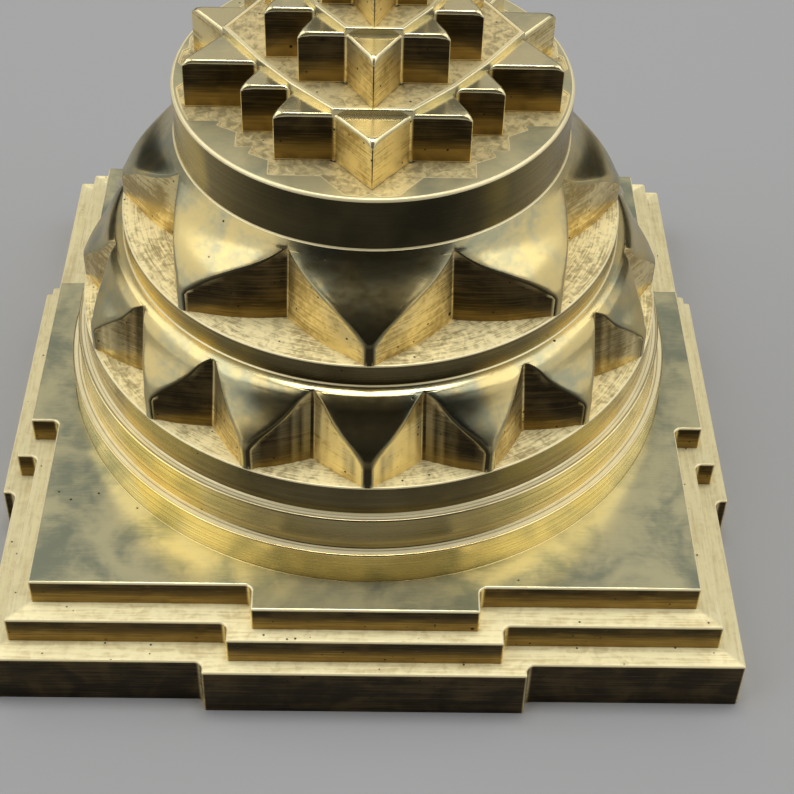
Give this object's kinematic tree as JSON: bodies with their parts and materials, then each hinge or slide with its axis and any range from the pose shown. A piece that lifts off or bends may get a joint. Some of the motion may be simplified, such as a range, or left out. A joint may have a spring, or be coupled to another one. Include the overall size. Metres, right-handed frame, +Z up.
{
  "type": "meru shri yantra",
  "caption": "Stepped brass yantra pyramid: square gated base plates, turned circle rings, petal tiers and rising star tiers of interlocking triangles under a small round dot.",
  "frame": {"origin": "middle of the square base's underside, where the object rests", "axes": "+Z up through the summit dot, -Y to the front, where the widest triangle's point faces the viewer, +X to the viewer's right"},
  "size_m": [0.1036, 0.1036, 0.1056],
  "materials": {
    "milled_brass": "milled and hand-buffed",
    "turned_brass": "fine turned lines",
    "polished_brass": "polished, with milled floors",
    "plain_steel": "plain, as drawn",
    "ground_steel": "ground"
  },
  "bodies": {
    "root": {"base_plate_lower": "milled_brass", "base_plate_middle": "milled_brass", "base_plate_upper": "milled_brass", "circle_ring_outer": "turned_brass", "circle_ring_middle": "turned_brass", "sixteen_petal_tier": "polished_brass", "eight_petal_tier": "polished_brass", "triangle_drum": "turned_brass", "star_tier_fourteen": "polished_brass", "star_tier_ten_outer": "polished_brass", "star_tier_ten_inner": "polished_brass", "star_tier_eight": "polished_brass", "centre_triangle": "polished_brass", "bindu": "polished_brass", "tie_rod": "plain_steel", "tie_washer": "plain_steel", "tie_nut": "plain_steel", "base_dowels": "ground_steel", "petal_dowels": "ground_steel", "drum_dowels": "ground_steel", "star_dowels": "ground_steel"}
  },
  "joints": []
}
